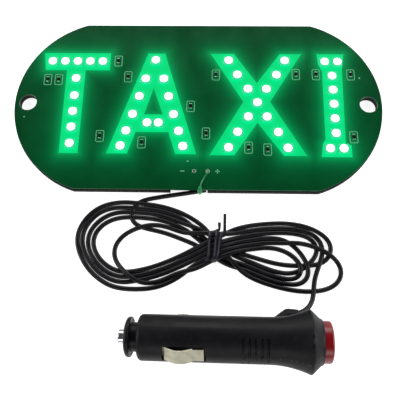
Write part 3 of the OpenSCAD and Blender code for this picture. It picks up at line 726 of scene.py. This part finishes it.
@dataclass
class Lead:
    """The whole round lead: from under the board, through its tied bundle, to the plug."""

    diameter: float = 2.4
    step: float = 1.2
    rest_height: float = 1.3
    strand_lift: float = 2.7
    least_bend: float = 7.0
    tie_grip: float = 0.12
    bend_recoil: float = 0.25
    opening_rounds: int = 300
    sinking_rounds: int = 260
    sink_per_round: float = 0.07
    pushes_per_round: int = 3
    search_every: int = 8
    search_margin: float = 1.0
    smoothing_rounds: int = 11
    points_per_key: int = 16
    held_span: float = 0.25
    tie_x: float = 10.5
    tie_y: float = -79.0
    board_route: tuple = (
        (5.5, -48.8, 0), (-1, -50, 0), (-10, -51.5, 0), (-19, -53, 0), (-26, -54.5, 0), (-31, -56, 0),
    )
    fold: tuple[Point, ...] = (
        (-35.2, -57.6), (-38.4, -61), (-37.4, -65), (-31.6, -67), (-22.5, -69), (-13, -72.5), (-2, -78),
    )
    plug_route: tuple = (
        (57.8, -98.5, 0), (58.6, -101.5, 0.3), (57.8, -105, 1.5), (55.3, -108.4, 3.4),
        (52, -110.6, 5.2), (48.5, -111.5, 6.8),
    )
    turns: tuple[Turn, ...] = (
        Turn(Row.LOWER, -4.8, 2, (
            (25.5, -88.2), (38, -94), (47.5, -96.8), (56.5, -96.7), (61, -93.7), (61.4, -89.2),
            (56.2, -83.2), (51, -77.8), (43.5, -75.1), (28, -76.9),
        )),
        Turn(Row.UPPER, -1.2, 0, (
            (-9, -90.8), (-28, -97.3), (-39, -97), (-49.5, -90.5), (-57.3, -78), (-55.5, -68),
            (-48, -60.5), (-38, -58.2), (-24, -59), (-4, -66.5),
        )),
        Turn(Row.LOWER, 0.0, 5, (
            (28, -91.2), (43, -96.4), (52.5, -99.2), (62, -99.6), (68.7, -97.5), (72.7, -93),
            (73, -87.5), (69, -82.5), (63.5, -78.5), (56, -76), (46, -75.6), (33, -76.3),
        )),
        Turn(Row.UPPER, -3.6, 1, (
            (-8, -92.4), (-20.5, -98), (-37.5, -99), (-47, -94), (-53.5, -87), (-58.5, -73), (-52, -61),
            (-40.5, -56.4), (-25, -57.4), (-4.5, -65),
        )),
        Turn(Row.LOWER, 2.4, 1, (
            (23, -85.7), (30.5, -90.6), (38, -93), (48, -94), (55.3, -91.8), (61, -87.7), (64, -82.5),
            (63.5, -77.5), (59.7, -72.8), (51, -70.3), (38.5, -70.5), (27, -73.3),
        )),
        Turn(Row.UPPER, 1.2, 2, (
            (-10.5, -89), (-25.5, -94.8), (-38.5, -95), (-48, -90.5), (-54.5, -83.5), (-56, -76.5),
            (-51.8, -68), (-42, -61), (-32, -59.3), (-22.5, -60.2), (-13.5, -63.4),
        )),
        Turn(Row.LOWER, 4.8, 0, (
            (23, -80), (30.5, -83), (38, -86), (47, -88), (55.5, -88.8), (64, -87.5), (70.3, -83),
            (70.2, -77.8), (65, -73.3), (56.5, -69.7), (46, -67.2), (35.5, -67.4), (24, -69.6),
        )),
        Turn(Row.UPPER, 3.6, 3, (
            (-12.5, -86.3), (-28, -91.3), (-39, -90.6), (-46, -87), (-50.3, -81.8), (-51.7, -75),
            (-47.3, -68), (-38.5, -63.7), (-25, -63), (-11, -64.8),
        )),
        Turn(Row.LOWER, -2.4, 3, (
            (25.5, -87.2), (35.5, -92.4), (45, -95.4), (53, -96.4), (58.4, -94.8), (58, -91),
            (53, -85.5), (48.3, -81.3), (41.3, -78), (33.3, -77.1),
        )),
        Turn(Row.UPPER, -6.0, 4, (
            (-6, -91), (-16.5, -96.9), (-24.5, -97.8), (-32, -95.3), (-37.3, -91.3), (-40.5, -86),
            (-40.7, -80.4), (-37.8, -74.4), (-31.3, -69.2), (-22.5, -67.2), (-13.5, -67.1),
        )),
        Turn(Row.UPPER, 6.0, 4, (
            (24, -70.8), (38.5, -69.2), (50, -68.9), (57, -70.2), (61.4, -73), (63.4, -77.5),
            (63.2, -82.6), (60.6, -87.7), (57.9, -93),
        )),
    )

    def build(self) -> None:
        """Lays the lead, then ties it."""
        points = self.settled()
        curve = bpy.data.curves.new("lead", "CURVE")
        curve.dimensions = "3D"
        curve.bevel_depth = self.diameter / 2 * MM
        curve.bevel_resolution = 5
        curve.resolution_u = 2
        curve.use_fill_caps = True
        spline = curve.splines.new("NURBS")
        spline.points.add(len(points) - 1)
        for target, place in zip(spline.points, points):
            target.co = (*(place * MM), 1.0)
        spline.order_u = 4
        spline.use_endpoint_u = True
        spline.resolution_u = 2
        curve.materials.append(JACKET.material())
        piece = placed("lead", curve)
        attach(piece, "sign")
        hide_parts("cord_board_end", "cord_coil", "cord_plug_end")
        tie = Tie(self.tie_y).build()

    def keys(self) -> tuple[list[tuple[float, float, float]], list[int]]:
        """Lists the lead's points from end to end, and which of them the tie or an end holds."""
        keys = [(x, y, self.rest_height + up) for x, y, up in self.board_route]
        held = list(range(len(keys)))
        keys += [(x, y, self.rest_height) for x, y in self.fold]
        for turn in self.turns:
            held.append(len(keys))
            keys.append((self.tie_x, self.tie_y + turn.across, turn.row.value))
            for k, (x, y) in enumerate(turn.keys):
                swell = math.sin(math.pi * (k + 1) / (len(turn.keys) + 1)) ** 0.7
                lift = self.rest_height + swell * turn.over * self.strand_lift
                keys.append((x, y, lift + (1 - swell) * turn.row.value))
        held += range(len(keys), len(keys) + len(self.plug_route))
        keys += [(x, y, self.rest_height + up) for x, y, up in self.plug_route]
        return keys, held

    def settled(self) -> np.ndarray:
        """Lets the bundle's strands sink onto each other and the table.

        Returns:
            The lead's centreline, one row for each point, in millimetres.
        """
        keys, held_keys = self.keys()
        points = evenly(smoothed(keys, self.points_per_key), self.step)
        number, points = points[:, 3], points[:, :3]
        nearest = np.min(np.abs(number[:, None] - np.array(held_keys)[None]), axis=1)
        hold = np.where(nearest < self.held_span, self.tie_grip, 0.0)
        hold[(number < len(self.board_route) - 3) | (number > len(keys) - 3)] = 1.0
        hold = hold[:, None]
        points[:, 2] = np.maximum(points[:, 2], self.rest_height)
        fixed = points.copy()
        for _ in range(self.opening_rounds):
            self.ease(points)
            points += hold * (fixed - points)
        self.sink(points, hold)
        for _ in range(2):
            points = evenly(points, self.step)
            for _ in range(self.smoothing_rounds):
                self.ease(points)
                points[1:-1] = 0.25 * points[:-2] + 0.5 * points[1:-1] + 0.25 * points[2:]
        return evenly(points, self.step)

    def sink(self, points: np.ndarray, hold: np.ndarray) -> None:
        """Lowers the strands until they lie on each other and the table, in place.

        Args:
            points: the centreline.
            hold: for each point, the share of its shift that is taken back.
        """
        fixed = points.copy()
        shape = points[:-2] - 2 * points[1:-1] + points[2:]
        shape[:, 2] = 0.0
        index = np.arange(len(points))
        apart = np.abs(index[:, None] - index[None]) > 2.5 * self.diameter / self.step
        for turn in range(self.sinking_rounds):
            if turn % self.search_every == 0:
                gaps = np.linalg.norm(points[:, None] - points[None], axis=2)
                first, second = np.nonzero(np.triu(apart & (gaps < self.diameter + self.search_margin)))
            points[:, 2] -= self.sink_per_round
            points[1:-1] += self.bend_recoil * (points[:-2] - 2 * points[1:-1] + points[2:] - shape)
            self.ease(points)
            for _ in range(self.pushes_per_round):
                self.push_apart(points, first, second)
                self.ease(points)
                points[:, 2] = np.maximum(points[:, 2], self.rest_height)
                points += hold * (fixed - points)

    def push_apart(self, points: np.ndarray, first: np.ndarray, second: np.ndarray) -> None:
        """Moves the two points of each pair apart until they only touch, in place.

        Args:
            points: the centreline.
            first: the number of each pair's first point.
            second: the number of its second point.
        """
        between = points[first] - points[second]
        reach = np.maximum(np.linalg.norm(between, axis=1), 1e-6)
        short = np.maximum(self.diameter - reach, 0.0)
        push = between * (0.5 * short / reach)[:, None]
        total, count = np.zeros_like(points), np.zeros(len(points))
        np.add.at(total, first, push)
        np.add.at(total, second, -push)
        np.add.at(count, first, short > 0)
        np.add.at(count, second, short > 0)
        points += total / np.maximum(count, 1.0)[:, None]

    def ease(self, points: np.ndarray) -> None:
        """Opens the bends that are tighter than the lead can take, in place."""
        bend = points[:-2] - 2 * points[1:-1] + points[2:]
        size = np.maximum(np.linalg.norm(bend, axis=1), 1e-9)
        excess = np.maximum(1.0 - self.step**2 / (self.least_bend * size), 0.0)
        points[1:-1] += 0.5 * bend * excess[:, None]


@dataclass
class Tie:
    """A flat wire-cored ribbon, wound round the bundle's waist, with its two ends up.

    Each wrap has its x at the back and at the front, and roundness is 1 for an elliptical wrap.
    """

    middle_y: float
    middle_z: float = 3.2
    half_y: float = 7.75
    half_z: float = 2.95
    roundness: float = 0.6
    degrees_step: int = 20
    section: tuple[Point, ...] = (
        (-0.75, -0.12), (-0.3, -0.2), (0, -0.35), (0.3, -0.2), (0.75, -0.12),
        (0.75, 0.12), (0.3, 0.2), (0, 0.35), (-0.3, 0.2), (-0.75, 0.12),
    )
    wraps: tuple[Point, ...] = ((8.6, 6.0), (12.2, 8.6), (15.1, 9.4))

    def build(self) -> Piece:
        """Sweeps the ribbon along its path and returns the finished tie."""
        path = self.path()
        frames = []
        for i, (place, out) in enumerate(path):
            ahead = path[min(i + 1, len(path) - 1)][0] - path[max(i - 1, 0)][0]
            ahead.normalize()
            side = out.cross(ahead).normalized()
            up = ahead.cross(side)
            frames.append(Matrix.Translation(place) @ Matrix((side, up, ahead)).transposed().to_4x4())
        ribbon = sweep(self.section, frames)
        return finished(ribbon, "wire_tie", TIE_PVC, stands_for=["coil_tie"], smooth=50)

    def path(self) -> list[tuple[Vector, Vector]]:
        """Lists the ribbon's places from end to end, each with the way its back faces."""
        start, end = self.wraps[0][0], self.wraps[-1][0]
        path = self.tail((start + 3.8, -1.2, 1.6), (0.55, 0.25), (9.0, 6.0, 3.0), 0.3)
        following = [back for back, _ in self.wraps[1:]] + [end]
        for (back, front), after in zip(self.wraps, following):
            for degrees in range(0, 360, self.degrees_step):
                angle = math.radians(degrees)
                out = Vector((0.0, math.cos(angle), math.sin(angle)))
                if degrees < 180:
                    x = back + (front - back) * degrees / 180
                else:
                    x = front + (after - front) * (degrees - 180) / 180
                y = self.middle_y + self.half_y * math.copysign(abs(out.y) ** self.roundness, out.y)
                z = self.middle_z + self.half_z * math.copysign(abs(out.z) ** self.roundness, out.z)
                path.append((Vector((x, y, z)), out))
        return path + self.tail((end, 0.0, 0.5), (0.9, 0.4), (0.0, 3.0, 6.0, 9.0), 0.4)

    def tail(self, foot: tuple[float, float, float], slope: Point, steps: Sequence[float],
             lean: float) -> list[tuple[Vector, Vector]]:
        """Lists the places of one of the ribbon's free ends, behind the wraps.

        Args:
            foot: its lowest place: its x, and its y and z from the wraps' back and middle.
            slope: how far it goes back and up for each step.
            steps: how many steps each place is from the foot.
            lean: how far its back leans forward.

        Returns:
            The places, each with the way the ribbon's back faces.
        """
        x, y, z = foot
        y, z = self.middle_y + self.half_y + y, self.middle_z + z
        back, up = slope
        return [(Vector((x, y + k * back, z + k * up)), Vector((0.0, -lean, 1.0))) for k in steps]


# ---------- sign ----------


@dataclass
class Sign:
    """The circuit board with its letters, lamps and markings, on its foam backing.

    The halo and the haze fall off from a letter's edge, and the lit ink from a lamp. A cup is
    a lamp's reflector, and a window is what fills it.
    """

    cell: float = 1.5
    halo: float = 0.55
    halo_reach: float = 2.8
    haze: float = 0.15
    haze_reach: float = 16.0
    lit_core: float = 2.0
    lit_reach: float = 2.2
    ink: float = 0.06
    print_height: float = 0.04
    print_line: float = 0.35
    via_radius: float = 0.45
    lamp_side: float = 5.0
    cup_wall: float = 0.25
    cup_depth: float = 1.0
    cup_draft: float = 0.9
    window_wall: float = 0.3
    window_drop: float = 0.55
    window_rise: float = 0.45
    dome: float = 0.08
    sides: int = 24
    bracket_size: Point = (4.4, 6.8)
    bracket_corner: float = 0.9
    minus_at: float = -6.2
    plus_at: float = 5.1
    mark_size: float = 2.2
    mark_line: float = 0.5
    vias: tuple[Point, ...] = ((-4.3, -33.9), (-93.5, -9), (88.6, 16))
    letters: dict[str, tuple[tuple[Point, ...], ...]] = field(default_factory=lambda: {
        "t": (((-86.5, 31), (-49, 31), (-49, 20), (-62.5, 20), (-62.5, -30), (-72.5, -30),
               (-73, 20), (-85, 20)),),
        "a": (((-28, 31), (-18.5, 31), (0, -30), (-11, -30), (-15, -17.5), (-32.5, -17.5),
               (-36.5, -30), (-47.5, -30)),
              ((-24, 9), (-18.5, -7), (-28.5, -7))),
        "x": (((7, 31), (20, 31), (32.5, 12.5), (45.5, 31), (57.5, 31), (39.5, 1),
               (58, -30.5), (46, -30.5), (32.5, -11.5), (20, -30.5), (7, -30.5), (25, 1)),),
        "i": (((66, 31), (81, 31), (79.5, 21.5), (78.5, -23.5), (81.5, -24), (81.5, -31),
               (65.5, -31), (66.5, -23.5), (68, -21), (68.5, 20), (66.5, 24.5)),),
    })

    def __post_init__(self) -> None:
        """Reads the height of the board's top and the places of the lamps from the frame."""
        self.top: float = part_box("circuit_board")[1].z / MM
        self.lamps: dict[str, list[Vector]] = {key: centres(f"led_windows_{key}") for key in self.letters}

    def build(self) -> None:
        """Makes the board, its letters, its lamps and its markings."""
        self.board()
        for key, loops in self.letters.items():
            self.letter(key, loops)
            self.lamp_set(key)
        self.markings()
        dress(FOAM, "backing_sheet")
        dress(TIN, *(f"led_legs_{key}" for key in self.letters))
        dress(END_TIN, "plated_holes")
        rounded("resistor_bodies", CHIP_BLACK, "sign", "chip_black", 0.08)
        rounded("resistor_ends", END_TIN, "sign", "tin", 0.1)
        dress(SOLDER, "solder_joints")
        dress(LIT_CORE, "lead_positive")
        dress(CORE_BLACK, "lead_negative")
        dress(GLUE, "glue_bead")

    def edges(self) -> tuple[np.ndarray, np.ndarray]:
        """Returns the starts and the ends of all the letters' edges, in millimetres."""
        starts, ends = [], []
        for loops in self.letters.values():
            for loop in loops:
                starts += loop
                ends += [*loop[1:], loop[0]]
        return np.array(starts, float), np.array(ends, float)

    def board(self) -> None:
        """Makes the laminate with a fine top that carries the lamps' halo."""
        bm = round_edges(cad_copy("circuit_board"), 0.15)
        grid_cut(bm, self.cell)
        bmesh.ops.triangulate(bm, faces=[f for f in bm.faces if len(f.verts) > 4])
        piece = finished(bm, "board_laminate", MASK, stands_for=["circuit_board"])
        starts, ends = self.edges()
        way = ends - starts
        values = []
        for vertex in piece.data.vertices:
            place = np.array(vertex.co) / MM
            share = np.clip(((place[:2] - starts) * way).sum(1) / (way**2).sum(1), 0, 1)
            distance = np.linalg.norm(starts + share[:, None] * way - place[:2], axis=1).min()
            facing = 1.0 if place[2] > self.top - 0.2 else 0.0
            near, far = math.exp(-distance / self.halo_reach), math.exp(-distance / self.haze_reach)
            values.append(facing * (self.halo * near + self.haze * far))
        painted(piece, "halo", values)

    def letter(self, key: str, loops: tuple[tuple[Point, ...], ...]) -> None:
        """Prints one letter's panel of ink.

        Args:
            key: the letter.
            loops: its outline and any hole in it.
        """
        bm = bmesh.new()
        edges = []
        for loop in loops:
            verts = [bm.verts.new((x, y, self.top)) for x, y in loop]
            edges += [bm.edges.new(pair) for pair in zip(verts, [*verts[1:], verts[0]])]
        bmesh.ops.triangle_fill(bm, edges=edges, use_beauty=True, normal=(0, 0, 1))
        grid_cut(bm, self.cell)
        raised(bm, bm.faces, self.ink)
        bmesh.ops.recalc_face_normals(bm, faces=bm.faces)
        piece = finished(bm, f"letter_panel_{key}", LETTER_INK)
        places = np.array([lamp[:2] for lamp in self.lamps[key]])
        values = []
        for vertex in piece.data.vertices:
            distance = np.linalg.norm(places - np.array(vertex.co[:2]) / MM, axis=1).min()
            values.append(math.exp(-max(distance - self.lit_core, 0.0) / self.lit_reach))
        painted(piece, "lit", values)

    def lamp_set(self, key: str) -> None:
        """Makes one letter's lamps: a milky body with a reflector cup, and its lit filling."""
        low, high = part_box(f"led_bodies_{key}")
        tall = (high.z - low.z) / MM
        bodies, fillings = bmesh.new(), bmesh.new()
        for place in self.lamps[key]:
            at = Matrix.Translation((place.x, place.y, self.top))
            self.lamp_body(bodies, at, tall)
            self.lamp_filling(fillings, at @ Matrix.Translation((0, 0, tall - self.window_drop)))
        for bm in (bodies, fillings):
            bmesh.ops.recalc_face_normals(bm, faces=bm.faces)
        finished(bodies, f"lamp_bodies_{key}", LAMP_BODY, stands_for=[f"led_bodies_{key}"])
        finished(fillings, f"lamp_fillings_{key}", LAMP_WINDOW,
                 stands_for=[f"led_windows_{key}"])

    def lamp_filling(self, bm: Mesh, at: Matrix) -> None:
        """Adds one lamp's domed filling to a mesh.

        Args:
            bm: the mesh that gathers the fillings.
            at: the middle of its foot.
        """
        disc = bmesh.ops.create_circle(bm, cap_ends=True, radius=self.lamp_side / 2 - self.window_wall,
                                       segments=self.sides, matrix=at)
        rim = list(disc["verts"][0].link_edges[0].link_faces[0].edges)
        wall = bmesh.ops.extrude_edge_only(bm, edges=rim)["geom"]
        top = verts_in(wall)
        bmesh.ops.translate(bm, vec=(0, 0, self.window_rise), verts=top)
        brim = [g for g in wall if isinstance(g, Edge) and g.verts[0] in top and g.verts[1] in top]
        cap = bmesh.ops.contextual_create(bm, geom=brim)["faces"]
        poked = bmesh.ops.poke(bm, faces=cap)["verts"]
        bmesh.ops.translate(bm, vec=(0, 0, self.dome), verts=poked)

    def lamp_body(self, bm: Mesh, at: Matrix, tall: float) -> None:
        """Adds one lamp body to a mesh.

        Args:
            bm: the mesh that gathers the bodies.
            at: the middle of its foot.
            tall: its height.
        """
        solid = Matrix.Diagonal((self.lamp_side, self.lamp_side, tall, 1.0))
        middle = at @ Matrix.Translation((0, 0, tall / 2))
        verts = bmesh.ops.create_cube(bm, size=1.0, matrix=middle @ solid)["verts"]
        faces = {f for v in verts for f in v.link_faces}
        top = max(faces, key=lambda f: f.calc_center_median().z)
        bmesh.ops.delete(bm, geom=[top], context="FACES_ONLY")
        brim = dict.fromkeys(e for v in verts for e in v.link_edges if e.is_boundary)
        circle = bmesh.ops.create_circle(bm, radius=self.lamp_side / 2 - self.cup_wall, segments=self.sides,
                                         matrix=at @ Matrix.Translation((0, 0, tall)))["verts"]
        mouth = list(dict.fromkeys(e for v in circle for e in v.link_edges))
        bmesh.ops.triangle_fill(bm, edges=[*brim, *mouth], use_beauty=True, normal=(0, 0, 1))
        cup = bmesh.ops.extrude_edge_only(bm, edges=mouth)["geom"]
        floor = verts_in(cup)
        bmesh.ops.scale(bm, vec=(self.cup_draft, self.cup_draft, 1.0), verts=floor, space=at.inverted())
        bmesh.ops.translate(bm, vec=(0, 0, -self.cup_depth), verts=floor)
        ring = [g for g in cup if isinstance(g, Edge) and all(v in floor for v in g.verts)]
        bmesh.ops.contextual_create(bm, geom=ring)

    def markings(self) -> None:
        """Prints an outline round each resistor and the polarity signs at the lead's holes."""
        bm = bmesh.new()
        for place in centres("resistor_bodies"):
            self.bracket(bm, place)
        left, right = centres("plated_holes")
        across, upright = (self.mark_size, self.mark_line), (self.mark_line, self.mark_size)
        minus, plus = (left.x + self.minus_at, left.y), (right.x + self.plus_at, right.y)
        for (x, y), (wide, high) in ((minus, across), (plus, across), (plus, upright)):
            bar = Matrix.Diagonal((wide, high, self.print_height, 1.0))
            at = Matrix.Translation((x, y, self.top + self.print_height / 2))
            bmesh.ops.create_cube(bm, size=1.0, matrix=at @ bar)
        bmesh.ops.recalc_face_normals(bm, faces=bm.faces)
        finished(bm, "board_markings", WHITE_INK)
        holes = bmesh.new()
        for x, y in self.vias:
            at = Matrix.Translation((x, y, self.top + self.print_height / 2))
            bmesh.ops.create_cone(holes, cap_ends=True, segments=20, radius1=self.via_radius,
                                  radius2=self.via_radius - 0.05, depth=self.print_height, matrix=at)
        finished(holes, "board_vias", END_TIN)

    def bracket(self, bm: Mesh, place: Vector) -> None:
        """Adds a printed rounded outline to a mesh.

        Args:
            bm: the mesh that gathers the markings.
            place: the outline's centre.
        """
        at = Matrix.Translation((place.x, place.y, self.top + 0.01))
        at = at @ Matrix.Diagonal((*self.bracket_size, 1.0, 1.0))
        square = ((-0.5, -0.5), (0.5, -0.5), (0.5, 0.5), (-0.5, 0.5))
        corners = [bm.verts.new(at @ Vector((x, y, 0))) for x, y in square]
        before = set(bm.faces)
        bm.faces.new(corners)
        bmesh.ops.bevel(bm, geom=corners, offset=self.bracket_corner, offset_type="OFFSET", segments=4,
                        profile=0.5, affect="VERTICES", material=-1)
        panel = next(f for f in bm.faces if f not in before)
        inset = bmesh.ops.inset_region(bm, faces=[panel], thickness=self.print_line, use_boundary=True)
        bmesh.ops.delete(bm, geom=[panel], context="FACES")
        raised(bm, inset["faces"], self.print_height)


# ---------- plug ----------


@dataclass
class Plug:
    """The switched plug: its shells, nose, contacts, button and everything inside."""

    def build(self) -> None:
        """Rounds what shows, and dresses what is inside."""
        for outer in (
            ("shell_upper", SHELL_ABS, "sign", "shell_plastic", 0.2),
            ("shell_lower", SHELL_ABS, "sign", "shell_plastic", 0.2),
            ("nose_cap", CAP_ABS, "nose_cap", "shell_plastic", 0.15),
            ("tip_pin", CHROME, "tip", "nickel", 0.15),
            ("left_contact", CONTACT_NICKEL, "left_contact", "contact_nickel", 0.1),
            ("right_contact", CONTACT_NICKEL, "right_contact", "contact_nickel", 0.1),
            ("push_button", RED_LENS, "button", "red_lens", 0.15),
            ("shell_screws", SCREW_STEEL, "sign", "screw_steel", 0.08),
        ):
            rounded(*outer)
        dress(HOOD_PVC, "cable_hood")
        dress(SPRING_STEEL, "fuse_spring")
        self.pressed_spring("tip_spring", "fuse")
        self.pressed_spring("button_spring", "sign")
        dress(INNER_ABS, "fuse_sleeve", "switch_housing")
        dress(FUSE_GLASS, "fuse_tube")
        dress(TIN, "fuse_element")
        dress(BRASS, "fuse_caps", "fuse_cup", "centre_terminal", "ground_strap", "switch_terminals")
        dress(WHITE_POM, "switch_plunger")
        dress(RED_LENS, "pilot_lamp")
        dress(CORE_RED, "live_lead")
        dress(CORE_BLACK, "ground_lead", "cord_cores")

    def pressed_spring(self, node: str, body: str) -> None:
        """Replaces a spring's CAD node by a copy with a mesh of its own.

        Args:
            node: the spring's CAD node.
            body: the body that its still end rests on.
        """
        piece = finished(cad_copy(node), f"{node}_wound", SPRING_STEEL, body=body,
                         stands_for=[node])
        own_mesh(piece)


def main() -> None:
    """Builds the studio, the lead, the sign and the plug."""
    logging.basicConfig(level=logging.INFO, format="%(message)s")
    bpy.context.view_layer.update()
    Studio().build()
    Lead().build()
    Sign().build()
    Plug().build()


if __name__ == "__main__":
    main()
